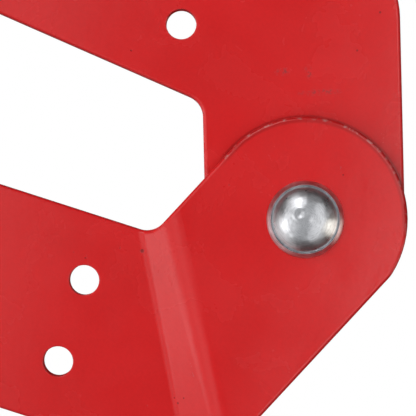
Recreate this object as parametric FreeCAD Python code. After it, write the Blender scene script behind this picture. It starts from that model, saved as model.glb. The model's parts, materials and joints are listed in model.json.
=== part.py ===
import FreeCAD, Part
import math
import os

# Screw-adjusted beam clamp, in millimetres. The origin is the centre of the load pin:
# +X runs across the beam flange, +Y along the load pin, +Z up to the beam.
# Each jaw is drawn once in its own frame (arm upright, pivot at the origin, x outward)
# and then swung outward by REST_SWING about the load pin.
V = FreeCAD.Vector

# Jaw plates
PLATE_T = 5.0            # sheet thickness
PLATE_IN = 24.0          # |y| of the inner face of every flat plate
PLATE_OUT = PLATE_IN + PLATE_T
JOGGLE = 5.5             # offset of the outer jaw's lobes over the inner jaw's plates
MITRE_DEG = 59.9         # direction from the pivot square to the double bend
MITRE_FROM_PIVOT = 45.1  # distance from the pivot to the middle of the double bend
BEND_RUN = (14.8, 17.8)   # width of the double bend at the inner and at the outer corner
BEND_CORNERS = (5.6, -71.2)  # where those corners lie along the bend, from the pivot's foot on it
BEND_ENDS = (20.0, -85.0)  # how far the double bend runs along itself, past both corners
BEND_LOBE_R = 12.5       # mean radius of the bend next to the lobe
BEND_ARM_R = 7.5         # mean radius of the bend next to the arm
STRIP_DEG = 25.0         # rise of the lower strip's axis
STRIP_BLEND_R = 12.0     # rounding where a lobe runs into the edges of its strip
ARM_OUT = 86.0           # x of the arms' outer edge
EDGE_ROLL = 1.1          # rounded rim of the punched plates
HOLE_ROLL = 0.35         # broken edge of the holes
REST_SWING = 2.9         # degrees that each jaw is swung outward at rest

# What differs between the jaws: x of the arm's inner edge, x of the two through holes low in the
# arm, radius of the lobe, and distance of the strip's inner and outer edges from its axis
OUTER_JAW = {"arm_in": 18.95, "pilots": (39.6, 66.5), "lobe": 32.3, "strip": (32.05, 31.9)}
INNER_JAW = {"arm_in": 20.9, "pilots": (40.7, 67.8), "lobe": 31.6, "strip": (31.45, 31.45)}

# Flange throat, sloping down towards its mouth
THROAT_C = (30.0, 164.0)
THROAT_R = 14.0
THROAT_DEG = 12.0
HOOK_TIP_X = 9.0
SHOE_T = 12.0            # thickness of the cross bar that bears on the flange
SHOE_PROUD = 1.0         # how far it stands below the hooks' undersides

# Holes
PILOT_D = 9.5            # pair of through holes low in each arm
PILOT_Z = 60.45
TRUNNION = (55.0, 126.0)  # trunnion axis in the jaw's frame
TRUNNION_D = 30.0
TRUNNION_END_D = 20.0
TRUNNION_PROUD = 6.0     # end beyond the plate, for a washer and a circlip
TRUNNION_WASHER_T = 2.0
CLIP_T = 1.2
TIE = (62.0, 98.0)       # tie bar axis in the jaw's frame
TIE_D = 20.0
TIE_END_D = 12.0
TIE_PROUD = 1.2          # riveted end beyond the plate
RUN_CLEAR = 0.05         # radial clearance of a running fit

# Load pin
PIN_D = 22.0
PIN_END_D = 18.0
PIN_BODY = PLATE_IN - 2.4  # half length of the full diameter
PIN_WASHER_D = 34.0
PIN_WASHER_T = 2.0
HEAD_D = 24.4
SKIRT_T = 1.7
DOME_D = 21.2
DOME_RISE = 5.0

# Spindle and handle
SPINDLE_D = 16.0
THREAD_END = 128.0
SPINDLE_NECK_D = 12.0
SPINDLE_TIP_X = -138.0
END_WASHER = (-131.3, -128.2)
END_CLIP = (-132.7, -131.5)
COLLAR_D = 26.0
COLLAR_HALF = 7.0
COLLAR_PIN_D = 5.0
BOSS_D = 24.0
BOSS_X = (140.5, 167.0)
BOSS_BORE_X = 150.2      # foot of the blind bore that takes the spindle's end
BOSS_PIN_X = 144.5
BOSS_PIN_D = 4.0
HANDLE_X = 158.0
HANDLE_D = 10.0
HANDLE_LEN = 120.0
CAP_D = 16.0
CAP_LEN = 10.0


def jaw_point(x, z, side):
    """Where a point of the jaw's frame lies at rest; side is +1 for +X, -1 for -X."""
    a = math.radians(REST_SWING)
    return side * (x * math.cos(a) + z * math.sin(a)), -x * math.sin(a) + z * math.cos(a)


def place_jaw(shape, side):
    """Carries a shape from the jaw's frame to its rest place on the given side."""
    if side < 0:
        shape = shape.mirror(V(0, 0, 0), V(1, 0, 0))
    shape.rotate(V(0, 0, 0), V(0, 1, 0), side * REST_SWING)
    return shape


def rounded_chain(corners):
    """Edges through (x, z, radius) corners in the XZ plane, each rounded; the two ends have no radius."""
    points = [V(x, 0, z) for x, z, _ in corners]
    edges, start = [], points[0]
    for before, p, after, (_, _, r) in zip(points, points[1:], points[2:], corners[1:]):
        a, b = (before - p).normalize(), (after - p).normalize()
        half = math.acos(max(-1.0, min(1.0, a.dot(b)))) / 2
        cut, middle = r / math.tan(half), (a + b).normalize()
        if (p + a * cut - start).Length > 1e-6:
            edges.append(Part.LineSegment(start, p + a * cut).toShape())
        edges.append(Part.Arc(p + a * cut, p + middle * (r / math.sin(half) - r), p + b * cut).toShape())
        start = p + b * cut
    edges.append(Part.LineSegment(start, points[-1]).toShape())
    return edges


def prism(wire, y0, y1):
    """Solid of an XZ outline between two depths."""
    solid = Part.Face(wire).extrude(V(0, y1 - y0, 0))
    solid.translate(V(0, y0, 0))
    return solid


def rod(radius, y0, y1, x=0.0, z=0.0):
    """Cylinder along Y."""
    return Part.makeCylinder(radius, y1 - y0, V(x, y0, z), V(0, 1, 0))


def bar(radius, x0, x1, z):
    """Cylinder along X."""
    return Part.makeCylinder(radius, x1 - x0, V(x0, 0, z), V(1, 0, 0))


def turned(profile, origin, axis, across):
    """Solid of revolution of (along, radius) points about an axis."""
    points = [origin + axis * s + across * r for s, r in profile]
    face = Part.Face(Part.makePolygon(points + [points[0]]))
    return face.revolve(origin, axis, 360)


def edges_where(shape, test):
    return [e for e in shape.Edges if test(e)]


def chamfered(shape, size, test):
    return shape.makeChamfer(size, edges_where(shape, test))


def filleted(shape, size, test):
    return shape.makeFillet(size, edges_where(shape, test))


def is_circle(edge, radius):
    return isinstance(edge.Curve, Part.Circle) and abs(edge.Curve.Radius - radius) < 1e-3


def lobe_blend(lobe_r, edge):
    """Rounding from a strip edge into the lobe: its points on the edge, half way and on the lobe.

    Points are (along, across) from the pivot; across has the sign of the edge's distance."""
    side, inner_r = math.copysign(1, edge), lobe_r - STRIP_BLEND_R
    rise = abs(edge) - STRIP_BLEND_R
    centre = (-math.sqrt(inner_r ** 2 - rise ** 2), rise)
    turn = math.atan2(centre[0], centre[1])
    arc = [(centre[0] + STRIP_BLEND_R * math.sin(turn * k), centre[1] + STRIP_BLEND_R * math.cos(turn * k))
           for k in (0, 0.5, 1)]
    return [(t, side * w) for t, w in arc]


def jaw_outline(jaw):
    """Outline of a jaw plate: lobe, strip, upright arm, throat and hook."""
    s = math.radians(STRIP_DEG)
    along, up = (math.cos(s), math.sin(s)), (-math.sin(s), math.cos(s))
    inner_w, outer_w = jaw["strip"]

    def strip_point(t, w):
        return t * along[0] + w * up[0], t * along[1] + w * up[1]

    def strip_at_x(x, w):
        return strip_point((x - w * up[0]) / along[0], w)

    t = math.radians(THROAT_DEG)
    inward, normal = (-math.cos(t), -math.sin(t)), (-math.sin(t), math.cos(t))

    def throat_point(d, w):
        return THROAT_C[0] + d * inward[0] + w * normal[0], THROAT_C[1] + d * inward[1] + w * normal[1]

    def throat_at_x(x, w):
        return throat_point((x - THROAT_C[0] - w * normal[0]) / inward[0], w)

    low, high = lobe_blend(jaw["lobe"], -outer_w), lobe_blend(jaw["lobe"], inner_w)
    edges = rounded_chain([
        (*strip_point(*low[0]), None),
        (*strip_at_x(ARM_OUT, -outer_w), 27),
        (ARM_OUT, 80, 70),
        (71, 166, 50),
        (55, 194, 18),
        (36, 204, 14),
        (HOOK_TIP_X, 192, 9),
        (*throat_at_x(HOOK_TIP_X, THROAT_R), 3.5),
        (*throat_point(-THROAT_R, THROAT_R), THROAT_R - 0.01),
        (*throat_point(-THROAT_R, -THROAT_R), THROAT_R - 0.01),
        (*throat_at_x(jaw["arm_in"], -THROAT_R), 8),
        (*strip_at_x(jaw["arm_in"], inner_w), 7),
        (*strip_point(*high[0]), None),
    ])

    def arc(points):
        return Part.Arc(*[V(x, 0, z) for x, z in (strip_point(*p) for p in points)]).toShape()

    return Part.Wire(edges + [arc(high), arc([high[2], (-jaw["lobe"], 0), low[2]]), arc(low[::-1])])


def bend_angle(run):
    """Angle of the sloping part, from the step and the run of a double bend with the two mean radii."""
    radii = BEND_LOBE_R + BEND_ARM_R
    return math.atan2(run, radii - JOGGLE) - math.acos(radii / math.hypot(run, radii - JOGGLE))


def bend_section(along):
    """Section of the double bend at a distance along it, and its lobe and arm ends; it widens outward."""
    m = V(math.cos(math.radians(MITRE_DEG)), 0, math.sin(math.radians(MITRE_DEG)))
    line = V(-m.z, 0, m.x)
    share = (along - BEND_CORNERS[0]) / (BEND_CORNERS[1] - BEND_CORNERS[0])
    run = BEND_RUN[0] + share * (BEND_RUN[1] - BEND_RUN[0])
    bend = bend_angle(run)
    middle_y = PLATE_IN + PLATE_T / 2
    first = (MITRE_FROM_PIVOT - run / 2, middle_y + JOGGLE - BEND_LOBE_R)
    second = (MITRE_FROM_PIVOT + run / 2, middle_y + BEND_ARM_R)

    def on(centre, r, angle, sign):
        d, y = centre[0] + sign * r * math.sin(angle), centre[1] + sign * r * math.cos(angle)
        return m * d + V(0, y, 0) + line * along

    def face_edges(offset):
        lobe = [on(first, BEND_LOBE_R + offset, bend * k, 1) for k in (0, 0.5, 1)]
        arm = [on(second, BEND_ARM_R - offset, bend * k, -1) for k in (1, 0.5, 0)]
        return lobe[0], arm[2], [Part.Arc(*lobe), Part.LineSegment(lobe[2], arm[0]), Part.Arc(*arm)]

    top_start, top_end, top = face_edges(PLATE_T / 2)
    under_start, under_end, under = face_edges(-PLATE_T / 2)
    ends = Part.LineSegment(top_end, under_end), Part.LineSegment(under_start, top_start)
    curves = top + [ends[0]] + under[::-1] + [ends[1]]
    return Part.Wire([c.toShape() for c in curves]), under_start, under_end, m


def double_bent_slab():
    """Sheet with a double bend: the lobe side stands JOGGLE further out than the arm side."""
    near, lobe_a, arm_a, m = bend_section(BEND_ENDS[0])
    far, lobe_b, arm_b, _ = bend_section(BEND_ENDS[1])
    sheet = Part.makeLoft([near, far], True, True)
    for a, b, reach in ((lobe_a, lobe_b, m * -140), (arm_a, arm_b, m * 240)):
        beyond = (a - b).normalize() * 120
        corners = [a + beyond, b - beyond, b - beyond + reach, a + beyond + reach]
        flat = Part.Face(Part.makePolygon(corners + corners[:1]))
        sheet = sheet.fuse(flat.extrude(V(0, PLATE_T, 0)))
    return sheet


def jaw_plate(jaw, bent):
    """One plate at +Y in the jaw's frame, with its rims rounded and its holes cut."""
    outline = jaw_outline(jaw)
    if bent:
        plate = prism(outline, 0, 60).common(double_bent_slab()).Solids[0]
    else:
        plate = prism(outline, PLATE_IN, PLATE_OUT)

    def on_rim(edge):
        # rim edges follow the outline on either face, and never run straight through the sheet
        half = (edge.FirstParameter + edge.LastParameter) / 2
        middle, along = edge.valueAt(half), edge.tangentAt(half)
        return abs(along.y) < 0.99 and outline.distToShape(Part.Vertex(middle.x, 0, middle.z))[0] < 0.02

    holes = [(x, PILOT_Z, PILOT_D / 2) for x in jaw["pilots"]]
    holes += [(*TRUNNION, TRUNNION_END_D / 2 + RUN_CLEAR), (*TIE, TIE_END_D / 2)]
    holes.append((0.0, 0.0, PIN_END_D / 2 + RUN_CLEAR))
    for x, z, r in holes:
        plate = plate.cut(rod(r, 0, 60, x, z))
    radii = [r for _, _, r in holes]
    plate = filleted(plate, HOLE_ROLL, lambda e: any(is_circle(e, r) for r in radii))
    return filleted(plate, EDGE_ROLL, on_rim)


def tie_bar():
    """Spacer between a jaw's plates, with a riveted spigot through each."""
    tip = PLATE_OUT + TIE_PROUD
    body = rod(TIE_D / 2, -PLATE_IN, PLATE_IN, *TIE).fuse(rod(TIE_END_D / 2, -tip, tip, *TIE))
    return filleted(body.removeSplitter(), 1.0,
                    lambda e: is_circle(e, TIE_END_D / 2) and abs(abs(e.Curve.Center.y) - tip) < 0.01)


def flange_shoe():
    """Cross bar that bears on the flange, standing 1 mm below the hooks' undersides."""
    length = THROAT_C[0] - HOOK_TIP_X - 3
    block = Part.makeBox(length, 2 * PLATE_IN, SHOE_T, V(-length, -PLATE_IN, THROAT_R - SHOE_PROUD))
    block = filleted(block, 2.0, lambda e: abs(e.Vertexes[0].Point.y - e.Vertexes[-1].Point.y) > 1)
    block.rotate(V(0, 0, 0), V(0, 1, 0), -THROAT_DEG)
    block.translate(V(THROAT_C[0], 0, THROAT_C[1]))
    return block


def export(node, shapes):
    shape = shapes[0] if len(shapes) == 1 else Part.makeCompound(shapes)
    shape.exportStep("parts/%s.step" % node)


def mirrored_y(shape):
    return shape.mirror(V(0, 0, 0), V(0, 1, 0))


def load_pin():
    """Shouldered pin with both ends upset into domed heads."""
    seat = PLATE_OUT + JOGGLE + 0.1
    profile = [(-PIN_BODY, 0), (-PIN_BODY, PIN_D / 2 - 0.6), (-PIN_BODY + 0.6, PIN_D / 2),
               (PIN_BODY - 0.6, PIN_D / 2), (PIN_BODY, PIN_D / 2 - 0.6), (PIN_BODY, 0)]
    body = turned(profile, V(0, 0, 0), V(0, 1, 0), V(1, 0, 0)).fuse(rod(PIN_END_D / 2, -seat, seat))
    ball = (DOME_D ** 2 / 4 + DOME_RISE ** 2) / (2 * DOME_RISE)
    skirt = filleted(rod(HEAD_D / 2, seat, seat + SKIRT_T), 0.9,
                     lambda e: is_circle(e, HEAD_D / 2) and e.Curve.Center.y > seat + 1)
    dome = Part.makeSphere(ball, V(0, seat + SKIRT_T - 0.2 + DOME_RISE - ball, 0))
    head = skirt.fuse(dome.common(rod(DOME_D / 2, seat + 0.5, seat + 20)))
    return body.fuse(head).fuse(mirrored_y(head)).removeSplitter()


def load_pin_washers():
    """Pair of washers between the pin's shoulders and the inner jaw."""
    start = PIN_BODY + 0.1
    washer = rod(PIN_WASHER_D / 2, start, start + PIN_WASHER_T).cut(rod(PIN_END_D / 2 + 0.1, 0, PLATE_IN))
    washer = chamfered(washer, 0.4, lambda e: is_circle(e, PIN_WASHER_D / 2))
    return [washer, mirrored_y(washer)]


def trunnion_nut(side):
    """Cross nut carried in a jaw's arms, drilled along X for the spindle."""
    x, z = jaw_point(*TRUNNION, side)
    body = rod(TRUNNION_D / 2, 0.25 - PLATE_IN, PLATE_IN - 0.25, x, z)
    body = chamfered(body, 1.0, lambda e: is_circle(e, TRUNNION_D / 2))
    end = PLATE_OUT + TRUNNION_PROUD
    stub = rod(TRUNNION_END_D / 2, -end, end, x, z)
    body = body.fuse(chamfered(stub, 1.0, lambda e: is_circle(e, TRUNNION_END_D / 2)))
    groove = PLATE_OUT + TRUNNION_WASHER_T + 0.4
    ring = rod(TRUNNION_END_D / 2 + 1, groove, groove + CLIP_T + 0.1, x, z).cut(
        rod(TRUNNION_END_D / 2 - 1, groove, groove + CLIP_T + 0.1, x, z))
    bore = SPINDLE_D / 2 + 0.08
    body = body.cut(ring).cut(mirrored_y(ring)).cut(bar(bore, x - 30, x + 30, z))
    for s in (-1, 1):
        body = body.cut(Part.makeCone(bore, bore + 3, 3, V(x + s * 12.6, 0, z), V(s, 0, 0)))
    return body


def circlip(inner_r, outer_r, thickness, gap):
    """Open retaining ring about Y with two drilled lugs, gap upward."""
    ring = rod(outer_r, 0, thickness).cut(rod(inner_r, 0, thickness))
    for s in (-1, 1):
        lug = rod(2.4, 0, thickness, s * (gap / 2 + 1.6), outer_r + 0.2)
        ring = ring.fuse(lug.cut(rod(inner_r, 0, thickness)))
    ring = ring.cut(Part.makeBox(gap, thickness + 2, outer_r * 2, V(-gap / 2, -1, 0)))
    for s in (-1, 1):
        ring = ring.cut(rod(0.9, 0, thickness, s * (gap / 2 + 1.6), outer_r + 0.2))
    return ring.removeSplitter()


def trunnion_fittings(side):
    """Washers and circlips on both ends of a cross nut."""
    x, z = jaw_point(*TRUNNION, side)
    start = PLATE_OUT + 0.15
    washer = rod(TRUNNION_D / 2, start, start + TRUNNION_WASHER_T, x, z).cut(
        rod(TRUNNION_END_D / 2 + 0.15, PLATE_OUT, PLATE_OUT + 3, x, z))
    washer = chamfered(washer, 0.4, lambda e: is_circle(e, TRUNNION_D / 2))
    clip = circlip(TRUNNION_END_D / 2 - 0.9, TRUNNION_END_D / 2 + 1.8, CLIP_T, 5.0)
    clip.translate(V(x, PLATE_OUT + TRUNNION_WASHER_T + 0.45, z))
    return [washer, mirrored_y(washer)], [clip, mirrored_y(clip)]


def spindle(z):
    """Twin-handed screw with a plain middle and turned-down ends; threads at full diameter."""
    r, neck = SPINDLE_D / 2, SPINDLE_NECK_D / 2
    tip, boss, far = SPINDLE_TIP_X, BOSS_X[0] - 0.1, BOSS_BORE_X - 0.2
    profile = [(tip, 0), (tip, neck - 0.8), (tip + 0.8, neck), (-THREAD_END, neck), (-THREAD_END, r - 1.4),
               (-THREAD_END + 1.4, r), (THREAD_END - 1.4, r), (THREAD_END, r - 1.4), (THREAD_END, r - 0.5),
               (boss, r - 0.5), (boss, neck), (far, neck), (far, 0)]
    body = turned(profile, V(0, 0, z), V(1, 0, 0), V(0, 0, 1))
    body = body.cut(bar(neck + 1, *END_CLIP, z).cut(bar(neck - 0.7, *END_CLIP, z)))
    body = body.cut(rod(COLLAR_PIN_D / 2, -20, 20, 0, z))
    return body.cut(rod(BOSS_PIN_D / 2, -20, 20, BOSS_PIN_X, z))


def spindle_fittings(z):
    """Middle collar with its cross pin, and the washer and circlip on the far end."""
    collar = bar(COLLAR_D / 2, -COLLAR_HALF, COLLAR_HALF, z).cut(bar(SPINDLE_D / 2, -8, 8, z))
    collar = chamfered(collar, 1.2, lambda e: is_circle(e, COLLAR_D / 2))
    export("spindle_centre_collar", [collar.cut(rod(COLLAR_PIN_D / 2, -20, 20, 0, z))])
    export("spindle_collar_pin", [rod(COLLAR_PIN_D / 2, 0.2 - COLLAR_D / 2, COLLAR_D / 2 - 0.2, 0, z)])
    washer = bar(14, *END_WASHER, z).cut(bar(SPINDLE_NECK_D / 2 + RUN_CLEAR, -132, -128, z))
    export("spindle_end_washer", [chamfered(washer, 0.5, lambda e: is_circle(e, 14))])
    clip = circlip(SPINDLE_NECK_D / 2 - 0.6, SPINDLE_NECK_D / 2 + 1.6, 1.0, 3.6)
    clip.rotate(V(0, 0, 0), V(0, 0, 1), -90)
    clip.translate(V(END_CLIP[0] + 0.1, 0, z))
    export("spindle_end_circlip", [clip])


def handle(z):
    """Boss pinned to the spindle, and the bar that slides through it with a cap on each end."""
    boss = bar(BOSS_D / 2, *BOSS_X, z)
    boss = filleted(boss, 2.0, lambda e: is_circle(e, BOSS_D / 2))
    boss = boss.cut(bar(SPINDLE_NECK_D / 2, BOSS_X[0] - 1, BOSS_BORE_X, z))
    boss = boss.cut(rod(BOSS_PIN_D / 2, -20, 20, BOSS_PIN_X, z))
    across = Part.makeCylinder(HANDLE_D / 2 + 0.08, 60, V(HANDLE_X, 0, z - 30), V(0, 0, 1))
    export("handle_boss", [boss.cut(across)])
    export("handle_boss_pin", [rod(BOSS_PIN_D / 2, 0.2 - BOSS_D / 2, BOSS_D / 2 - 0.2, BOSS_PIN_X, z)])
    top = z + BOSS_D / 2 + 0.1 + CAP_LEN
    shaft = Part.makeCylinder(HANDLE_D / 2, HANDLE_LEN - 4, V(HANDLE_X, 0, top - HANDLE_LEN + 2), V(0, 0, 1))
    export("handle_bar", [shaft])
    for name, start in (("upper", top - CAP_LEN), ("lower", top - HANDLE_LEN)):
        cap = Part.makeCylinder(CAP_D / 2, CAP_LEN, V(HANDLE_X, 0, start), V(0, 0, 1))
        cap = filleted(cap, 2.5, lambda e: is_circle(e, CAP_D / 2))
        export("handle_cap_" + name, [cap.cut(shaft)])


def main():
    os.makedirs("parts", exist_ok=True)
    for name, jaw, bent, side in (("outer", OUTER_JAW, True, -1), ("inner", INNER_JAW, False, 1)):
        rear = place_jaw(jaw_plate(jaw, bent), side)
        export(name + "_jaw_rear_plate", [rear])
        export(name + "_jaw_front_plate", [mirrored_y(rear)])
        export(name + "_jaw_tie_bar", [place_jaw(tie_bar(), side)])
        export(name + "_jaw_flange_shoe", [place_jaw(flange_shoe(), side)])
    export("load_pin", [load_pin()])
    export("load_pin_washers", load_pin_washers())
    for name, side in (("left", -1), ("right", 1)):
        export(name + "_trunnion_nut", [trunnion_nut(side)])
        washers, clips = trunnion_fittings(side)
        export(name + "_trunnion_washers", washers)
        export(name + "_trunnion_circlips", clips)
    spindle_z = jaw_point(*TRUNNION, 1)[1]
    export("spindle", [spindle(spindle_z)])
    spindle_fittings(spindle_z)
    handle(spindle_z)


main()
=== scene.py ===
"""Looks of the screw-adjusted beam clamp: paint, steel finishes, threads, welds, pin heads, lights and camera.

It is laid out as an add-on and also runs as a script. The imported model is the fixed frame; every size here is either
a named setting or read from that frame. Lengths are in metres unless a name ends in _mm.
"""

import json
import math

import bmesh
import bpy
from mathutils import Matrix, Vector, noise


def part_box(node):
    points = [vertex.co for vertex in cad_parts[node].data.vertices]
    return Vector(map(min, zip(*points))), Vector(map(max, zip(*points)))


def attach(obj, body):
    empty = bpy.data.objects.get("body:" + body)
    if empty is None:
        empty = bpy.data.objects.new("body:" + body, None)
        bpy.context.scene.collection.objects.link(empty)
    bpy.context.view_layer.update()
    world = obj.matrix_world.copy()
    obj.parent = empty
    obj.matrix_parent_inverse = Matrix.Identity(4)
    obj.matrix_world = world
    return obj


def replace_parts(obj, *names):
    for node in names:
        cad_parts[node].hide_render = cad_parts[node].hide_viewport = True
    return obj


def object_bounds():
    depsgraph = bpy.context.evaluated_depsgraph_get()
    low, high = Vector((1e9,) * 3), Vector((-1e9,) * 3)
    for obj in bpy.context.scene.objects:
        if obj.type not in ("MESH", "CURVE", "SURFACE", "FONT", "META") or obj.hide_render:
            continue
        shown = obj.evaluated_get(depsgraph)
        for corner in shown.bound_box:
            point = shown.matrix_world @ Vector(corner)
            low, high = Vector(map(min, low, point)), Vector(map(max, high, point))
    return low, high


bl_info = {
    "name": "Beam Clamp Looks",
    "version": (1, 0, 0),
    "blender": (4, 5, 0),
    "location": "View3D > Sidebar > Beam Clamp",
    "description": "Finishes a packed beam clamp with paint, steel, threads and studio light",
    "category": "Object",
}

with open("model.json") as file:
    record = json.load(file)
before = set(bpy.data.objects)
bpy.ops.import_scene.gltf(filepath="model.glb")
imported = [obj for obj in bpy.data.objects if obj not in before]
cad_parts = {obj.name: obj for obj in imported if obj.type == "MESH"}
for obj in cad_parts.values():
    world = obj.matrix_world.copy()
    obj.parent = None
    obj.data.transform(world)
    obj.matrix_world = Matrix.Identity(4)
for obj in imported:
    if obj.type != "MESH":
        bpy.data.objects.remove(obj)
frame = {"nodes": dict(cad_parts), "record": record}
CAD_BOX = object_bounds()

MM = 0.001
JAWS = ("outer", "inner")
SIDES = ("left", "right")
AXIS_X, AXIS_Y, AXIS_Z = Vector((1, 0, 0)), Vector((0, 1, 0)), Vector((0, 0, 1))
SCREW_SEGMENTS, PIN_SEGMENTS, DOME_RINGS = 72, 144, 40
MERGE_DISTANCE = 2e-6
SHARP_ANGLE = math.radians(38)
LAMP_REACH = 1.2            # from the middle of the view to the studio boxes
FLOOR_DROP = 0.065          # the clamp hangs this far above the floor
VIEW_MIDDLE = Vector((-0.0075, 0, 0.0299))
WHITE, COOL, WARM = (1, 1, 1), (0.96, 0.98, 1.0), (1, 0.95, 0.84)

# Where the front plates' paint is chipped or pitted: x and z from the pin, and the radius, all in mm
CHIPS_MM = ((-27.5, 44.5, 0.75), (69.4, 1.0, 0.45), (30.4, 70.1, 0.35), (55.6, 3.5, 0.4), (17.3, -6.2, 0.35),
            (-66.2, 15.8, 0.3), (-68.4, 17.0, 0.35), (-67.2, 18.6, 0.25), (-35.9, 60.5, 0.3))
# Dark scuffs in the same frame: x and z of the middle, half length, half width, and lean in degrees
SCUFFS_MM = ((41.0, 23.0, 3.2, 1.6, -62.0), (44.0, 15.5, 3.0, 1.5, 30.0), (39.0, 10.0, 9.0, 1.3, -66.0),
             (-36.5, 59.5, 2.6, 0.25, 30.0), (-57.0, 16.5, 4.2, 0.25, 35.0), (18.5, -5.0, 1.6, 0.35, 20.0))


# ---------------------------------------------------------------- settings


class ClampSettings(bpy.types.PropertyGroup):
    """Sizes and colours of the looks, shown in the sidebar."""

    paint: bpy.props.FloatVectorProperty(
        name="Paint", description="Red enamel on the plates", subtype="COLOR", size=3, min=0, max=1,
        default=(0.590, 0.0096, 0.0110))
    paint_deep: bpy.props.FloatVectorProperty(
        name="Paint, thick", description="The enamel where it lies thicker", subtype="COLOR", size=3, min=0, max=1,
        default=(0.545, 0.0078, 0.0088))
    steel: bpy.props.FloatVectorProperty(
        name="Bright steel", description="Upset and polished pin heads", subtype="COLOR", size=3, min=0, max=1,
        default=(0.76, 0.765, 0.79))
    zinc: bpy.props.FloatVectorProperty(
        name="Zinc plate", description="Nuts, washers, handle and collar", subtype="COLOR", size=3, min=0, max=1,
        default=(0.56, 0.58, 0.61))
    phosphate: bpy.props.FloatVectorProperty(
        name="Phosphate", description="Circlips and cross pins", subtype="COLOR", size=3, min=0, max=1,
        default=(0.045, 0.045, 0.05))
    thread_pitch_mm: bpy.props.FloatProperty(
        name="Thread pitch", description="Pitch of both threads in mm", default=4.0, min=1, max=8)
    thread_depth_mm: bpy.props.FloatProperty(
        name="Thread depth", description="Crest to root in mm", default=2.25, min=0.5, max=4)
    weld_mm: bpy.props.FloatProperty(
        name="Weld bead radius", description="Radius of the shoe welds in mm", default=2.1, min=0.5, max=5)
    dome_mm: bpy.props.FloatProperty(
        name="Pin dome diameter", description="Crown of the upset pin head in mm", default=21.2, min=5, max=24)
    view_width: bpy.props.FloatProperty(
        name="Width in view", description="Width seen at the front plates", unit="LENGTH", default=0.131,
        min=0.02, max=0.6)
    view_roll: bpy.props.FloatProperty(
        name="Roll of the view", description="Turn of the camera about its axis", subtype="ANGLE",
        default=math.radians(-69.25), min=-math.pi, max=math.pi)
    view_distance: bpy.props.FloatProperty(
        name="Camera distance", description="Camera to the middle of the clamp", unit="LENGTH", default=5.8,
        min=1, max=30)


def settings():
    return bpy.context.scene.beam_clamp


# ---------------------------------------------------------------- mesh helpers


def new_piece(name, build, body, slot):
    """Builds a mesh in the row frame with build(bm) and makes it a piece that rides on a body."""
    bm = bmesh.new()
    build(bm)
    bmesh.ops.remove_doubles(bm, verts=bm.verts, dist=MERGE_DISTANCE)
    bmesh.ops.recalc_face_normals(bm, faces=bm.faces)
    for face in bm.faces:
        face.smooth = True
    mesh = bpy.data.meshes.new(name)
    bm.to_mesh(mesh)
    bm.free()
    mesh.set_sharp_from_angle(angle=SHARP_ANGLE)
    mesh.materials.append(finish_for(slot))
    piece = bpy.data.objects.new(name, mesh)
    bpy.context.scene.collection.objects.link(piece)
    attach(piece, body)
    return piece


def line(bm, points):
    """Vertices joined by edges in a row."""
    verts = [bm.verts.new(p) for p in points]
    return verts + [bm.edges.new(pair) for pair in zip(verts, verts[1:])]


def revolve(bm, profile, origin, axis, start, segments):
    """Spins (along, radius) points a full turn about an axis."""
    drawn = line(bm, [origin + axis * along + start * radius for along, radius in profile])
    bmesh.ops.spin(bm, geom=drawn, cent=origin, axis=axis, angle=2 * math.pi, steps=segments, use_merge=True)


def evenly(points, step):
    """Evenly spaced points round a closed outline."""
    loop = points + points[:1]
    spans = [(b - a).length for a, b in zip(loop, loop[1:])]
    count = max(8, round(sum(spans) / step))
    spaced, i, passed = [], 0, 0.0
    for k in range(count):
        want = sum(spans) * k / count
        while passed + spans[i] < want:
            passed += spans[i]
            i += 1
        spaced.append(loop[i].lerp(loop[i + 1], (want - passed) / spans[i]))
    return spaced


def swept(path, radii, radius):
    """Mesh of a round bead that follows a closed path; radii scale the bead at each point."""
    curve = bpy.data.curves.new("bead", "CURVE")
    curve.dimensions = "3D"
    curve.bevel_depth, curve.bevel_resolution = radius, 3
    spline = curve.splines.new("POLY")
    spline.points.add(len(path) - 1)
    spline.use_cyclic_u = True
    for point, place, scale in zip(spline.points, path, radii):
        point.co = (*place, 1)
        point.radius = scale
    carrier = bpy.data.objects.new("bead", curve)
    mesh = bpy.data.meshes.new_from_object(carrier)
    bpy.data.objects.remove(carrier)
    bpy.data.curves.remove(curve)
    return mesh


def end_outline(node, y):
    """The outline of a CAD node's end face at a depth, in order round its centre."""
    found = [v.co.copy() for v in node.data.vertices if abs(v.co.y - y) < 1e-5]
    centre = sum(found, Vector()) / len(found)
    found.sort(key=lambda p: math.atan2(p.z - centre.z, p.x - centre.x))
    return [p for p, before in zip(found, found[-1:] + found) if (p - before).length > 1e-4]


# ---------------------------------------------------------------- node helpers


def add(tree, kind, inputs=None, **attributes):
    """Adds a shader node; inputs maps socket names or numbers to values or to sockets to link from."""
    made = tree.nodes.new(kind)
    for key, value in attributes.items():
        setattr(made, key, value)
    for key, value in (inputs or {}).items():
        if isinstance(value, bpy.types.NodeSocket):
            tree.links.new(value, made.inputs[key])
        else:
            made.inputs[key].default_value = value
    return made


def maths(tree, operation, a, b=0.0):
    return add(tree, "ShaderNodeMath", {0: a, 1: b}, operation=operation).outputs[0]


def remap(tree, value, low, high, to_low=0.0, to_high=1.0):
    """Carries low..high over to another range with a smooth step, and holds it outside."""
    made = add(tree, "ShaderNodeMapRange", {"Value": value, "From Min": low, "From Max": high,
                                            "To Min": to_low, "To Max": to_high})
    made.interpolation_type = "SMOOTHSTEP"
    return made.outputs["Result"]


def noise_of(tree, vector, size, detail=2.0, roughness=0.5):
    """Fractal noise whose features are about size metres across."""
    return add(tree, "ShaderNodeTexNoise", {"Vector": vector, "Scale": 1.0 / size, "Detail": detail,
                                            "Roughness": roughness}).outputs["Fac"]


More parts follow.
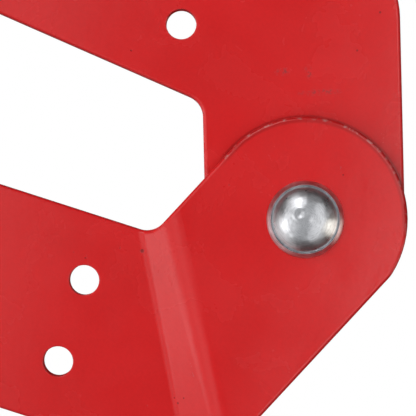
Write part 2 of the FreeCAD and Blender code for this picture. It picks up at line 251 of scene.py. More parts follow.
def mix_colour(tree, share, a, b):
    """From colour a to colour b by a share from 0 to 1."""
    made = add(tree, "ShaderNodeMix", data_type="RGBA", clamp_factor=True)
    for socket, value in ((made.inputs[0], share), (made.inputs[6], a), (made.inputs[7], b)):
        if isinstance(value, bpy.types.NodeSocket):
            tree.links.new(value, socket)
        else:
            socket.default_value = value
    return made.outputs[2]


def rgba(colour, gain=1.0):
    """A colour made brighter or darker by a gain, with full alpha."""
    return (*(min(1.0, c * gain) for c in colour), 1.0)


def bump(tree, height, distance, strength=1.0, normal=None):
    inputs = {"Height": height, "Distance": distance, "Strength": strength}
    if normal is not None:
        inputs["Normal"] = normal
    return add(tree, "ShaderNodeBump", inputs).outputs["Normal"]


def start_material(name):
    """A fresh material with its tree, its Principled shader and its object coordinates."""
    material = bpy.data.materials.new(name)
    material.use_nodes = True
    tree = material.node_tree
    shader = next(n for n in tree.nodes if n.type == "BSDF_PRINCIPLED")
    coords = add(tree, "ShaderNodeTexCoord").outputs["Object"]
    return material, tree, shader, coords


def feed(tree, shader, **values):
    """Sets or links inputs of the Principled shader by name, with _ for a space."""
    for key, value in values.items():
        socket = shader.inputs[key.replace("_", " ")]
        if isinstance(value, bpy.types.NodeSocket):
            tree.links.new(value, socket)
        else:
            socket.default_value = value


def group(name, inputs, output, build):
    """A shader node group, made once: inputs are (label, socket type, default), build(tree, inputs) its result."""
    made = bpy.data.node_groups.get(name)
    if made is None:
        made = bpy.data.node_groups.new(name, "ShaderNodeTree")
        for label, kind, default in inputs:
            socket = made.interface.new_socket(name=label, in_out="INPUT", socket_type=kind)
            if default is not None:
                socket.default_value = default
        made.interface.new_socket(name=output, in_out="OUTPUT", socket_type="NodeSocketFloat")
        source, sink = made.nodes.new("NodeGroupInput"), made.nodes.new("NodeGroupOutput")
        made.links.new(build(made, source.outputs), sink.inputs[0])
    return made


def specks(tree, coords, cell, radius, share):
    """Round specks: a share of the cells of a Voronoi pattern each hold one, of the given radius."""

    def build(inner, given):
        scale = maths(inner, "DIVIDE", 1.0, given["Cell"])
        cells = add(inner, "ShaderNodeTexVoronoi", {"Vector": given["Vector"], "Scale": scale, "Randomness": 1.0})
        edge = maths(inner, "MULTIPLY", given["Radius"], scale)
        near = remap(inner, cells.outputs["Distance"], edge, maths(inner, "MULTIPLY", edge, 0.35))
        chosen = add(inner, "ShaderNodeSeparateColor", {"Color": cells.outputs["Color"]}).outputs["Red"]
        return maths(inner, "MULTIPLY", near, maths(inner, "LESS_THAN", chosen, given["Share"]))

    made = group("specks", (("Vector", "NodeSocketVector", None), ("Cell", "NodeSocketFloat", 0.005),
                            ("Radius", "NodeSocketFloat", 0.0003), ("Share", "NodeSocketFloat", 0.1)), "Mask", build)
    return add(tree, "ShaderNodeGroup", {"Vector": coords, "Cell": cell, "Radius": radius, "Share": share},
               node_tree=made).outputs["Mask"]


def mottle(tree, coords, size, low=0.0, high=1.0):
    """Soft cloudy patches about size metres across, between two values."""

    def build(inner, given):
        cloud = add(inner, "ShaderNodeTexNoise", {"Vector": given["Vector"], "Detail": 4.0, "Roughness": 0.6,
                                                  "Distortion": 0.4,
                                                  "Scale": maths(inner, "DIVIDE", 1.0, given["Size"])})
        return remap(inner, cloud.outputs["Fac"], 0.28, 0.72, given["Low"], given["High"])

    made = group("mottle", (("Vector", "NodeSocketVector", None), ("Size", "NodeSocketFloat", 0.01),
                            ("Low", "NodeSocketFloat", 0.0), ("High", "NodeSocketFloat", 1.0)), "Value", build)
    return add(tree, "ShaderNodeGroup", {"Vector": coords, "Size": size, "Low": low, "High": high},
               node_tree=made).outputs["Value"]


# ---------------------------------------------------------------- materials


def chip_mask(tree, flat):
    """One where the paint is chipped, by distance in the plane of the plates."""
    masks = []
    for x, z, radius in CHIPS_MM:
        away = add(tree, "ShaderNodeVectorMath", {0: flat, 1: (x * MM, 0, z * MM)}, operation="DISTANCE")
        masks.append(remap(tree, away.outputs["Value"], radius * MM, 0.5 * radius * MM))
    total = masks[0]
    for mask in masks[1:]:
        total = maths(tree, "MAXIMUM", total, mask)
    return total


def scuff_mask(tree, flat):
    """One along short rubbed lines, broken up by noise."""
    total = None
    for x, z, half_length, half_width, lean in SCUFFS_MM:
        a = math.radians(lean)
        shifted = add(tree, "ShaderNodeVectorMath", {0: flat, 1: (x * MM, 0, z * MM)}, operation="SUBTRACT")
        turned = add(tree, "ShaderNodeVectorRotate", {"Vector": shifted.outputs[0], "Axis": (0, 1, 0), "Angle": a},
                     rotation_type="AXIS_ANGLE")
        scaled = add(tree, "ShaderNodeVectorMath",
                     {0: turned.outputs[0], 1: (1 / (half_length * MM), 0, 1 / (half_width * MM))},
                     operation="MULTIPLY")
        reach = add(tree, "ShaderNodeVectorMath", {0: scaled.outputs[0]}, operation="LENGTH").outputs["Value"]
        mask = remap(tree, reach, 1.0, 0.3)
        total = mask if total is None else maths(tree, "MAXIMUM", total, mask)
    return maths(tree, "MULTIPLY", total, remap(tree, noise_of(tree, flat, 0.0011, 3.0, 0.7), 0.47, 0.62))


def lobe_rim(tree, flat):
    """Two masks on the rounded rim of the lobes, on the +X side of the pin: the whole rim and a thin band on the plate
    just outside it, for painted shade and a painted contact shadow; and broken thin arcs inside the rim's edge, for a
    painted highlight line broken up like rubbed paint.
    """
    reach = add(tree, "ShaderNodeVectorMath", {0: flat}, operation="LENGTH").outputs["Value"]
    side = add(tree, "ShaderNodeSeparateXYZ", {"Vector": flat}).outputs["X"]
    edge = -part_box("outer_jaw_front_plate")[0].z
    own = remap(tree, side, 0.004, 0.012)
    # Painted shade over the rim of the lobes, fading out on the plate just outside them as a painted contact shadow.
    within = remap(tree, reach, edge + 0.0009, edge + 0.0003)
    rim_shade = maths(tree, "MULTIPLY", remap(tree, reach, edge - 0.0022, edge - 0.0013), within)
    rim_shade = maths(tree, "MULTIPLY", rim_shade, own)
    # Painted highlight: a thin arc just inside the rim's edge, broken up by noise like rubbed paint.
    highlight_band = maths(tree, "MULTIPLY", remap(tree, reach, edge - 0.0011, edge - 0.0006),
                 remap(tree, reach, edge, edge - 0.0004))
    broken = remap(tree, noise_of(tree, flat, 0.0022, 3.0, 0.6), 0.50, 0.66)
    return rim_shade, maths(tree, "MULTIPLY", maths(tree, "MULTIPLY", highlight_band, broken), own)


def paint_material():
    """Semi-gloss red enamel: orange peel, slow tone drift, dust nibs, pits, chips and scuffs, with painted shade and a
    painted highlight line along the lobes' rims.
    """
    s = settings()
    material, tree, shader, coords = start_material("red_enamel")
    flat = add(tree, "ShaderNodeVectorMath", {0: coords, 1: (1, 0, 1)}, operation="MULTIPLY").outputs[0]
    grain = noise_of(tree, coords, 0.0009, 3.0, 0.6)
    colour = mix_colour(tree, mottle(tree, coords, 0.03), rgba(s.paint_deep), rgba(s.paint))
    colour = mix_colour(tree, remap(tree, grain, 0.25, 0.75, 0.0, 0.22), colour, rgba(s.paint, 1.25))
    nibs = specks(tree, coords, 0.0052, 0.00028, 0.10)
    elsewhere = add(tree, "ShaderNodeMapping", {"Vector": coords, "Location": (0.31, 0.17, 0.05)}).outputs[0]
    pits = specks(tree, elsewhere, 0.0061, 0.00032, 0.12)
    depth = add(tree, "ShaderNodeSeparateXYZ", {"Vector": coords}).outputs["Y"]
    front = maths(tree, "LESS_THAN", depth, 0.5 * CAD_BOX[0].y)
    chips = maths(tree, "MULTIPLY", chip_mask(tree, flat), front)
    scuffs = maths(tree, "MULTIPLY", scuff_mask(tree, flat), front)
    holes = maths(tree, "MAXIMUM", maths(tree, "MULTIPLY", pits, 0.5), chips)
    colour = mix_colour(tree, maths(tree, "MULTIPLY", holes, 0.75), colour, rgba(s.paint_deep, 0.28))
    colour = mix_colour(tree, maths(tree, "MULTIPLY", scuffs, 0.6), colour, (0.15, 0.03, 0.035, 1))
    rim_shade, rim_highlight_and_wear = lobe_rim(tree, flat)
    # Painted shade: darker red over the lobes' rims, and a painted contact shadow on the plate just outside them.
    colour = mix_colour(tree, maths(tree, "MULTIPLY", rim_shade, 0.75), colour, rgba(s.paint_deep, 0.68))
    # A thin pinkish-grey line along the rims: a painted highlight, broken up like rubbed paint.
    colour = mix_colour(tree, maths(tree, "MULTIPLY", rim_highlight_and_wear, 0.6), colour, (0.46, 0.25, 0.24, 1))
    normal = bump(tree, noise_of(tree, coords, 0.012, 2.0, 0.5), 0.0002, 0.5)
    normal = bump(tree, noise_of(tree, coords, 0.0019, 2.0, 0.45), 0.00005, 0.65, normal)
    normal = bump(tree, grain, 0.000012, 0.6, normal)
    normal = bump(tree, maths(tree, "SUBTRACT", nibs, holes), 0.00016, 0.8, normal)
    rough = maths(tree, "ADD", mottle(tree, coords, 0.02, 0.23, 0.29), maths(tree, "MULTIPLY", scuffs, 0.2))
    feed(tree, shader, Base_Color=colour, Roughness=rough, IOR=1.5, Normal=normal)
    return material


def bright_steel_material():
    """Upset and polished steel: round scoring about the pin, cloudy burnish, small dark pits."""
    s = settings()
    material, tree, shader, coords = start_material("bright_steel")
    parts = add(tree, "ShaderNodeSeparateXYZ", {"Vector": coords})
    x, z = parts.outputs["X"], parts.outputs["Z"]
    radius = maths(tree, "SQRT", maths(tree, "ADD", maths(tree, "MULTIPLY", x, x), maths(tree, "MULTIPLY", z, z)))
    turn = maths(tree, "ARCTAN2", z, x)
    polar = add(tree, "ShaderNodeCombineXYZ", {"X": radius, "Y": maths(tree, "MULTIPLY", turn, 0.0010)}).outputs[0]
    scoring = noise_of(tree, polar, 0.00032, 3.0, 0.6)
    cloud = mottle(tree, coords, 0.004)
    pits = specks(tree, coords, 0.0019, 0.00022, 0.14)
    colour = mix_colour(tree, cloud, rgba(s.steel, 0.82), rgba(s.steel, 1.08))
    colour = mix_colour(tree, remap(tree, scoring, 0.42, 0.72, 0.0, 0.42), colour, rgba(s.steel, 0.35))
    colour = mix_colour(tree, maths(tree, "MULTIPLY", pits, 0.7), colour, (0.05, 0.055, 0.075, 1))
    normal = bump(tree, scoring, 0.000025, 0.7)
    normal = bump(tree, cloud, 0.00006, 0.4, normal)
    normal = bump(tree, maths(tree, "MULTIPLY", pits, -1.0), 0.0001, 0.7, normal)
    rough = mottle(tree, coords, 0.003, 0.27, 0.37)
    feed(tree, shader, Base_Color=colour, Metallic=1.0, Roughness=rough, Normal=normal)
    return material


def zinc_material():
    """Zinc plate over turned steel: bluish bloom, a warm stain here and there, fine tool lines, dull spots."""
    s = settings()
    material, tree, shader, coords = start_material("zinc_plate")
    lines = noise_of(tree, add(tree, "ShaderNodeMapping", {"Vector": coords, "Scale": (6.0, 1.0, 1.0)}).outputs[0],
                     0.0012, 2.0, 0.5)
    colour = mix_colour(tree, mottle(tree, coords, 0.009), rgba(s.zinc, 0.86), rgba(s.zinc, 1.1))
    colour = mix_colour(tree, mottle(tree, coords, 0.022, -0.25, 0.35), colour, (0.62, 0.58, 0.46, 1))
    spots = specks(tree, coords, 0.0035, 0.0005, 0.2)
    rough = maths(tree, "ADD", mottle(tree, coords, 0.009, 0.28, 0.42), maths(tree, "MULTIPLY", spots, 0.18))
    feed(tree, shader, Base_Color=colour, Metallic=1.0, Roughness=rough, Normal=bump(tree, lines, 0.00002, 0.6))
    return material


def thread_material():
    """Rolled thread: zinc colour on the crests, darkened towards the roots as painted shade in the grooves."""
    s = settings()
    material, tree, shader, coords = start_material("thread_steel")
    low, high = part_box("spindle")
    outer = (high.z - low.z) / 2
    parts = add(tree, "ShaderNodeSeparateXYZ", {"Vector": coords})
    y = parts.outputs["Y"]
    z = maths(tree, "SUBTRACT", parts.outputs["Z"], (low.z + high.z) / 2)
    radius = maths(tree, "SQRT", maths(tree, "ADD", maths(tree, "MULTIPLY", y, y), maths(tree, "MULTIPLY", z, z)))
    crest = remap(tree, radius, outer - s.thread_depth_mm * MM, outer - 0.0002)
    # Painted shade: the colour darkens with depth into the thread's grooves, from zinc on the crests to dark in the
    # roots.
    root = mix_colour(tree, mottle(tree, coords, 0.006), (0.11, 0.10, 0.09, 1), (0.24, 0.23, 0.22, 1))
    colour = mix_colour(tree, crest, root, rgba(s.zinc))
    normal = bump(tree, noise_of(tree, coords, 0.0009, 3.0, 0.6), 0.00003, 0.5)
    feed(tree, shader, Base_Color=colour, Metallic=1.0, Roughness=mottle(tree, coords, 0.006, 0.22, 0.42),
         Normal=normal)
    return material


def phosphate_material():
    """Dark phosphated spring steel with a thin film of oil."""
    s = settings()
    material, tree, shader, coords = start_material("phosphate_steel")
    colour = mix_colour(tree, mottle(tree, coords, 0.003), rgba(s.phosphate, 0.7), rgba(s.phosphate, 1.9))
    normal = bump(tree, noise_of(tree, coords, 0.0006, 2.0, 0.5), 0.00002, 0.6)
    feed(tree, shader, Base_Color=colour, Metallic=0.85, Roughness=mottle(tree, coords, 0.003, 0.32, 0.5),
         Normal=normal)
    return material


MATERIALS = {
    "red_paint": paint_material,
    "bright_steel": bright_steel_material,
    "zinc_steel": zinc_material,
    "thread_steel": thread_material,
    "spring_steel": phosphate_material,
}


def finish_for(slot):
    """The material of a record slot, made once."""
    key = "finish_" + slot
    found = bpy.data.materials.get(key)
    if found is None:
        found = MATERIALS[slot]()
        found.name = key
    return found


def dress(names):
    """Gives CAD nodes the finish of their own record slot."""
    slots = {part["node"]: part["material_slot"] for part in frame["record"]["subparts"]}
    for name in names:
        node = frame["nodes"][name]
        node.data.materials.clear()
        node.data.materials.append(finish_for(slots[name]))


# ---------------------------------------------------------------- pieces


def thread(bm, start, end, hand, origin, crest, root):
    """A trapezoidal thread about the X axis: one turn is spun, repeated, cut square and run out at both ends."""
    pitch = settings().thread_pitch_mm * MM
    # Shares of the pitch and of the depth at the corners of the form
    form = ((0.0, 0.0), (0.06, 0.0), (0.31, 0.0), (0.37, 0.04), (0.50, 1.0), (0.56, 1.0), (0.81, 1.0), (0.94, 0.0),
            (1.0, 0.0))
    first = origin + AXIS_X * (start - 2 * pitch)
    drawn = line(bm, [first + AXIS_X * (share * pitch) + AXIS_Y * (crest - cut * (crest - root))
                      for share, cut in form])
    bmesh.ops.spin(bm, geom=drawn, cent=origin, axis=AXIS_X, dvec=AXIS_X * (hand * pitch / SCREW_SEGMENTS),
                   angle=2 * math.pi, steps=SCREW_SEGMENTS, use_merge=False)
    turn = list(bm.verts) + list(bm.edges) + list(bm.faces)
    for k in range(1, math.ceil((end - start) / pitch) + 4):
        copied = bmesh.ops.duplicate(bm, geom=turn)["geom"]
        bmesh.ops.translate(bm, vec=AXIS_X * (k * pitch),
                            verts=[g for g in copied if isinstance(g, bmesh.types.BMVert)])
    bmesh.ops.remove_doubles(bm, verts=bm.verts, dist=1e-5)
    for x, outwards in ((start, -1), (end, 1)):
        everything = list(bm.verts) + list(bm.edges) + list(bm.faces)
        bmesh.ops.bisect_plane(bm, geom=everything, plane_co=AXIS_X * x, plane_no=AXIS_X * outwards,
                               clear_outer=True)
    for vert in bm.verts:
        spoke = Vector((0, vert.co.y - origin.y, vert.co.z - origin.z))
        limit = root + 0.9 * min(vert.co.x - start, end - vert.co.x)
        if spoke.length > limit:
            vert.co -= spoke * (1 - limit / spoke.length)


def spindle_mesh(bm):
    """Twin-handed trapezoidal screw, left-hand to +X and right-hand to -X, with its plain ends."""
    low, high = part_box("spindle")
    origin = Vector((0, 0, (low.z + high.z) / 2))
    crest = (high.z - low.z) / 2
    root = crest - settings().thread_depth_mm * MM
    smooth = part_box("spindle_centre_collar")[1].x + 0.002
    thread_end = 0.0002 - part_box("spindle_end_washer")[1].x
    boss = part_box("handle_boss")[0].x - 0.0001
    # Radii of the end neck and of its circlip groove, and where the groove lies
    neck, groove, clip = 0.0060, 0.0053, low.x + 0.0053
    ease, tip, clip_width = 0.0003, 0.0008, 0.0012
    shoulder = crest - 0.0005
    for start, end, hand in ((smooth, thread_end, -1), (-thread_end, -smooth, 1)):
        part = bmesh.new()
        thread(part, start, end, hand, origin, crest, root)
        joined = bpy.data.meshes.new("thread")
        part.to_mesh(joined)
        part.free()
        bm.from_mesh(joined)
        bpy.data.meshes.remove(joined)
    sleeves = (
        [(-smooth, root), (-smooth, crest - ease), (ease - smooth, crest), (smooth - ease, crest),
         (smooth, crest - ease), (smooth, root)],
        [(-thread_end, root), (-thread_end, neck), (clip + clip_width, neck), (clip + clip_width, groove),
         (clip, groove), (clip, neck), (low.x + tip, neck), (low.x, neck - tip), (low.x, 0)],
        [(thread_end, root), (thread_end + 0.0006, root), (thread_end + 0.0018, shoulder), (boss, shoulder),
         (boss, neck), (high.x, neck), (high.x, 0)],
    )
    for profile in sleeves:
        revolve(bm, profile, origin, AXIS_X, AXIS_Y, SCREW_SEGMENTS)


def load_pin_mesh(bm):
    """Shouldered pin whose ends are upset into a steep thin skirt and a domed crown with a punched nub."""
    low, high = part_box("load_pin")
    top, skirt_r = high.y, (high.x - low.x) / 2
    dome_r = settings().dome_mm * MM / 2
    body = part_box("load_pin_washers")[1].y - 0.0021
    body_r, end_r, body_ease = 0.0110, 0.0090, 0.0006
    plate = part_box("outer_jaw_rear_plate")[1].y + 0.0001
    brim = plate + 0.0015
    rise = top - brim
    ball = (dome_r ** 2 + rise ** 2) / (2 * rise)
    rings = [dome_r * k / DOME_RINGS for k in range(DOME_RINGS, -1, -1)]
    crown = [(top - ball + math.sqrt(ball ** 2 - r ** 2), r) for r in rings]
    # Body, turned end, then the skirt's roll out to its full width and back in to the crown's brim
    half = [(body - body_ease, body_r), (body, body_r - body_ease), (body, end_r), (plate, end_r),
            (plate, skirt_r - 0.0001), (plate + 0.0003, skirt_r), (plate + 0.0007, skirt_r - 0.00022),
            (plate + 0.0011, skirt_r - 0.00052), (plate + 0.0016, skirt_r - 0.00098),
            (plate + 0.0020, dome_r + 0.0003), (plate + 0.0019, dome_r + 0.00018),
            (plate + 0.0014, dome_r + 0.00006), *crown]
    profile = [(-along, r) for along, r in reversed(half)] + half
    revolve(bm, profile, Vector(), AXIS_Y, AXIS_X, PIN_SEGMENTS)
    # Punch marks near the middle of the crown: a raised nub, and a pit with a lip round it
    nub, pit = Vector((0.0004, 0, -0.0011)), Vector((0.0010, 0, 0.0022))
    for vert in bm.verts:
        side = math.copysign(1.0, vert.co.y)
        share = min(1.0, max(0.0, (abs(vert.co.y) - brim) / (0.4 * rise)))
        flat = Vector((vert.co.x, 0, vert.co.z))
        lift = 0.00022 * math.exp(-((flat - nub).length / 0.0009) ** 2)
        lift -= 0.00035 * math.exp(-((flat - pit).length / 0.0010) ** 2)
        lift += 0.00010 * math.exp(-(((flat - pit).length - 0.0018) / 0.0006) ** 2)
        dents = 0.00010 * noise.noise(vert.co * 260) + 0.00002 * noise.noise(vert.co * 800)
        vert.co.y += side * (share * (lift + dents) - 0.00008)


def shoe_weld_mesh(outline, y, inward):
    """A rippled fillet weld round a shoe's end, on a plate's inner face."""
    radius = settings().weld_mm * MM
    path = evenly(outline, 0.0009)
    centre = sum(path, Vector()) / len(path)
    seated, radii = [], []
    for i, point in enumerate(path):
        outwards = (point - centre).normalized()
        wander = 0.25 * radius * noise.noise(point * 300)
        seated.append(Vector((point.x, y + inward * 0.2 * radius, point.z)) + outwards * (0.2 * radius + wander))
        radii.append(0.92 + 0.10 * math.sin(2 * math.pi * i / 2.6) + 0.12 * noise.noise(point * 420))
    return swept(seated, radii, radius)


# ---------------------------------------------------------------- stage


def view_axes():
    """Right and up of the view in the row frame; it looks along +Y, rolled about it."""
    roll = settings().view_roll
    return Vector((math.cos(roll), 0, math.sin(roll))), Vector((-math.sin(roll), 0, math.cos(roll)))


def off_axis(degrees, towards):
    """Direction back from the clamp that leans from the viewing axis by an angle, towards a direction across it."""
    a = math.radians(degrees)
    return -AXIS_Y * math.cos(a) + towards.normalized() * math.sin(a)


def studio_world():
    """White to the camera; to everything else a dim room with soft bright patches: ahead, beside and behind."""
    right, up = view_axes()
    world = bpy.data.worlds.new("studio")
    bpy.context.scene.world = world
    world.use_nodes = True
    tree = world.node_tree
    tree.nodes.clear()
    direction = add(tree, "ShaderNodeTexCoord").outputs["Generated"]

    def glow(aim, inner, outer, level):
        facing = add(tree, "ShaderNodeVectorMath", {0: direction, 1: aim}, operation="DOT_PRODUCT")
        return remap(tree, facing.outputs["Value"], math.cos(math.radians(outer)), math.cos(math.radians(inner)),
                     0.0, level)

    ahead, beside, behind = -AXIS_Y, off_axis(90, -right - up * 0.7), AXIS_Y
    level = 0.05
    # Where each patch lies, the angles in degrees where it starts and stops fading, and its brightness
    for patch in ((ahead, 2, 16, 0.05), (beside, 12, 48, 0.60), (behind, 15, 45, 0.22)):
        level = maths(tree, "ADD", level, glow(*patch))
    camera_ray = add(tree, "ShaderNodeLightPath").outputs["Is Camera Ray"]
    grey = add(tree, "ShaderNodeCombineXYZ", {"X": level, "Y": level, "Z": level}).outputs[0]
    shown = mix_colour(tree, camera_ray, grey, (1, 1, 1, 1))
    background = add(tree, "ShaderNodeBackground", {"Color": shown, "Strength": 1.0})
    tree.links.new(background.outputs[0], add(tree, "ShaderNodeOutputWorld").inputs[0])


def panel_light(name, place, back, across, size, radiance, tint=WHITE, glossy=True):
    """A rectangular light of a given radiance; back points away from what it lights, across along its width."""
    light = bpy.data.lights.new(name, "AREA")
    light.shape = "RECTANGLE"
    light.size, light.size_y = size
    light.energy = radiance * math.pi * size[0] * size[1]
    light.color = tint
    lamp = bpy.data.objects.new(name, light)
    bpy.context.scene.collection.objects.link(lamp)
    lamp.visible_camera = False
    lamp.visible_glossy = glossy
    lamp.location = place
    back = back.normalized()
    across = (across - back * across.dot(back)).normalized()
    lamp.rotation_mode = "QUATERNION"
    lamp.rotation_quaternion = Matrix((across, back.cross(across), back)).transposed().to_quaternion()
    return lamp


def linked(name, objects):
    """A collection that a light can be limited to."""
    made = bpy.data.collections.new(name)
    for item in objects:
        made.objects.link(item)
    return made


def lights(aim):
    """Panels close beside the view for the plates' sheen, skies for the pin and the fittings, and studio boxes."""
    right, up = view_axes()
    nodes = frame["nodes"]
    plates = linked("plates", [nodes[f"{jaw}_jaw_{part}"] for jaw in JAWS for part in ("front_plate", "rear_plate")])
    pins = linked("pins", [bpy.data.objects["load_pin_upset"]])
    fittings = linked("fittings", [node for node in nodes.values() if "_jaw_" not in node.name]
                      + [bpy.data.objects["spindle_threaded"]])

    # Upright panels ahead of the front plates; each starts and ends at a distance beside the view
    lean = math.radians(15)
    along = right * math.cos(lean) - up * math.sin(lean)
    near = aim + along * 0.012 + AXIS_Y * (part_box("outer_jaw_front_plate")[0].y - 0.25)
    for name, start, end, radiance, only in (("near_right", 0.052, 0.128, 2.5, plates),
                                             ("far_right", 0.128, 0.40, 0.6, None),
                                             ("near_left", -0.128, -0.066, 0.9, plates),
                                             ("far_left", -0.40, -0.128, 0.5, None)):
        lamp = panel_light(name, near + along * (start + end) / 2, -AXIS_Y, along, (end - start, 0.8), radiance)
        lamp.light_linking.receiver_collection = only

    for name, direction, size, radiance, only in (("pin_front", -AXIS_Y, 3.4, 0.42, pins),
                                                  ("pin_rear", AXIS_Y, 3.4, 0.42, pins),
                                                  ("steel_front", -AXIS_Y, 1.5, 0.75, fittings),
                                                  ("steel_rear", AXIS_Y, 1.5, 0.75, fittings),
                                                  ("steel_top", AXIS_Z, 1.5, 1.1, fittings),
                                                  ("steel_left", -AXIS_X, 1.5, 0.6, fittings),
                                                  ("steel_right", AXIS_X, 1.5, 0.6, fittings)):
        sky = panel_light(name, aim + direction * LAMP_REACH, direction, right, (size, size), radiance, COOL)
        sky.light_linking.receiver_collection = only

    glint = off_axis(56, -right - up * 0.3)
    spark = panel_light("pin_spark", aim + glint * LAMP_REACH, glint, up, (0.34, 0.34), 1.6)
    spark.light_linking.receiver_collection = pins
    edge = panel_light("notch_edge", aim - right * LAMP_REACH, -right, AXIS_Y, (0.5, 1.0), 2.2)
    edge.light_linking.receiver_collection = plates

    for name, direction, size, radiance, tint, glossy in (
            ("left_box", off_axis(59, -right - up * 0.28), (0.58, 0.50), 1.45, WHITE, True),
            ("upper_box", off_axis(50, up - right * 0.34), (0.40, 0.40), 3.0, WHITE, True),
            ("warm_edge", off_axis(76, right - up * 0.30), (0.60, 0.8), 1.7, WARM, True),
            ("front_fill", off_axis(38, up * 0.6 - right), (0.9, 0.9), 2.5, WHITE, False),
            ("rear_fill", Vector((0.3, 1.0, 0.45)), (0.9, 0.9), 3.0, WHITE, False),
            ("rear_box", Vector((-0.7, 0.9, 0.7)), (0.5, 0.7), 1.6, WHITE, True),
            ("top_box", Vector((0.1, -0.1, 1.2)), (0.6, 0.6), 1.2, WHITE, False)):
        place = aim + direction.normalized() * LAMP_REACH
        panel_light(name, place, direction, up, size, radiance, tint, glossy)


def floor():
    """A pale floor well below the hanging clamp: it fades to white, and is seen through from underneath."""
    bm = bmesh.new()
    bmesh.ops.create_grid(bm, x_segments=1, y_segments=1, size=1.1,
                          matrix=Matrix.Translation((0, 0, CAD_BOX[0].z - FLOOR_DROP)))
    mesh = bpy.data.meshes.new("floor")
    bm.to_mesh(mesh)
    bm.free()
    material, tree, shader, coords = start_material("floor")
    reach = add(tree, "ShaderNodeVectorMath", {0: coords}, operation="LENGTH").outputs["Value"]
    far = remap(tree, reach, 0.22, 0.8)
    feed(tree, shader, Base_Color=mix_colour(tree, far, (0.8, 0.8, 0.8, 1), (0, 0, 0, 1)), Roughness=0.7,
         Specular_IOR_Level=0.0, Emission_Color=(1, 1, 1, 1), Emission_Strength=remap(tree, far, 0, 1, 0.45, 1.0))
    under = add(tree, "ShaderNodeNewGeometry").outputs["Backfacing"]
    seen = add(tree, "ShaderNodeMixShader", {0: under, 1: shader.outputs[0],
                                             2: add(tree, "ShaderNodeBsdfTransparent").outputs[0]})
    tree.links.new(seen.outputs[0], next(n for n in tree.nodes if n.type == "OUTPUT_MATERIAL").inputs["Surface"])
    mesh.materials.append(material)
    made = bpy.data.objects.new("floor", mesh)
    bpy.context.scene.collection.objects.link(made)
    made.visible_glossy = made.visible_diffuse = False


def place_camera(aim):
    """A long lens square to the plates, framed by the width seen at the front plates."""
    s = settings()
    right, up = view_axes()
    data = bpy.data.cameras.new("view")
    camera = bpy.data.objects.new("view", data)
    bpy.context.scene.collection.objects.link(camera)
    bpy.context.scene.camera = camera
    data.lens = data.sensor_width * (s.view_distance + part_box("outer_jaw_front_plate")[0].y) / s.view_width
    data.clip_start, data.clip_end = 0.1, 60.0
    camera.location = aim - AXIS_Y * s.view_distance
    camera.rotation_mode = "QUATERNION"
    camera.rotation_quaternion = Matrix((right, up, -AXIS_Y)).transposed().to_quaternion()


# ---------------------------------------------------------------- operators


class BEAMCLAMP_OT_painted(bpy.types.Operator):
    """Paint the plates, flange shoes and tie bars of both jaws"""

    bl_idname = "beam_clamp.painted"
    bl_label = "Painted parts"

    def execute(self, context):
        parts = ("front_plate", "rear_plate", "flange_shoe", "tie_bar")
        dress(f"{jaw}_jaw_{part}" for jaw in JAWS for part in parts)
        return {"FINISHED"}


class BEAMCLAMP_OT_load_pin(bpy.types.Operator):
    """Make the load pin with upset heads, and finish its washers"""

    bl_idname = "beam_clamp.load_pin"
    bl_label = "Load pin"

    def execute(self, context):
        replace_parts(new_piece("load_pin_upset", load_pin_mesh, "load_pin_body", "bright_steel"), "load_pin")
        dress(["load_pin_washers"])
        return {"FINISHED"}


class BEAMCLAMP_OT_spindle(bpy.types.Operator):
    """Make the spindle with both threads, and finish what is fixed to it"""

    bl_idname = "beam_clamp.spindle"
    bl_label = "Spindle"

    def execute(self, context):
        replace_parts(new_piece("spindle_threaded", spindle_mesh, "spindle_body", "thread_steel"), "spindle")
        dress(["spindle_centre_collar", "spindle_collar_pin", "spindle_end_washer", "spindle_end_circlip"])
        return {"FINISHED"}


class BEAMCLAMP_OT_nuts(bpy.types.Operator):
    """Finish the cross nuts with their washers and circlips"""

    bl_idname = "beam_clamp.nuts"
    bl_label = "Cross nuts"

    def execute(self, context):
        dress(f"{side}_trunnion_{part}" for side in SIDES for part in ("nut", "washers", "circlips"))
        return {"FINISHED"}


class BEAMCLAMP_OT_handle(bpy.types.Operator):
    """Finish the boss and the sliding bar"""

    bl_idname = "beam_clamp.handle"
    bl_label = "Handle"

    def execute(self, context):
        dress(["handle_boss", "handle_boss_pin", "handle_bar", "handle_cap_upper", "handle_cap_lower"])
        return {"FINISHED"}


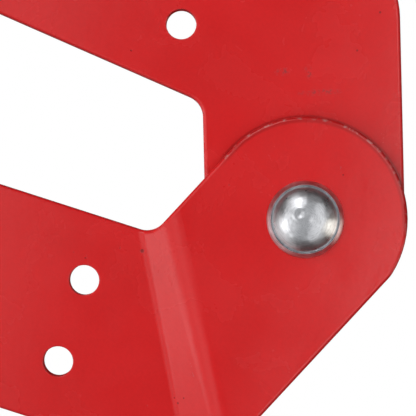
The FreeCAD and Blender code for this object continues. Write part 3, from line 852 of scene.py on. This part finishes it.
class BEAMCLAMP_OT_welds(bpy.types.Operator):
    """Run a fillet weld round both ends of each flange shoe"""

    bl_idname = "beam_clamp.welds"
    bl_label = "Welds"

    def execute(self, context):
        for jaw in JAWS:
            shoe = frame["nodes"][f"{jaw}_jaw_flange_shoe"]
            for end, label, inward in zip(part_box(shoe.name), ("front", "rear"), (1, -1)):
                bead = shoe_weld_mesh(end_outline(shoe, end.y), end.y, inward)
                new_piece(f"{shoe.name}_weld_{label}", lambda bm: bm.from_mesh(bead), f"{jaw}_jaw", "red_paint")
        return {"FINISHED"}


class BEAMCLAMP_OT_stage(bpy.types.Operator):
    """Set the studio light, the pale floor, the white surround and the camera"""

    bl_idname = "beam_clamp.stage"
    bl_label = "Stage"

    def execute(self, context):
        scene = context.scene
        scene.view_settings.view_transform = "Standard"
        scene.view_settings.look = "None"
        scene.cycles.use_denoising = True
        studio_world()
        lights(VIEW_MIDDLE)
        floor()
        place_camera(VIEW_MIDDLE)
        return {"FINISHED"}


class BEAMCLAMP_PT_panel(bpy.types.Panel):
    """Settings and steps of the beam clamp's looks"""

    bl_idname = "BEAMCLAMP_PT_panel"
    bl_label = "Beam Clamp"
    bl_space_type = "VIEW_3D"
    bl_region_type = "UI"
    bl_category = "Beam Clamp"

    def draw(self, context):
        for name in ClampSettings.__annotations__:
            self.layout.prop(context.scene.beam_clamp, name)
        for step in STEPS:
            self.layout.operator(step.bl_idname)


STEPS = (BEAMCLAMP_OT_painted, BEAMCLAMP_OT_load_pin, BEAMCLAMP_OT_spindle, BEAMCLAMP_OT_nuts,
         BEAMCLAMP_OT_handle, BEAMCLAMP_OT_welds, BEAMCLAMP_OT_stage)
CLASSES = (ClampSettings, *STEPS, BEAMCLAMP_PT_panel)


def register():
    for cls in CLASSES:
        bpy.utils.register_class(cls)
    bpy.types.Scene.beam_clamp = bpy.props.PointerProperty(type=ClampSettings)


def unregister():
    del bpy.types.Scene.beam_clamp
    for cls in reversed(CLASSES):
        bpy.utils.unregister_class(cls)


def main():
    register()
    for step in STEPS:
        family, name = step.bl_idname.split(".")
        getattr(getattr(bpy.ops, family), name)()


if __name__ == "__main__":
    main()
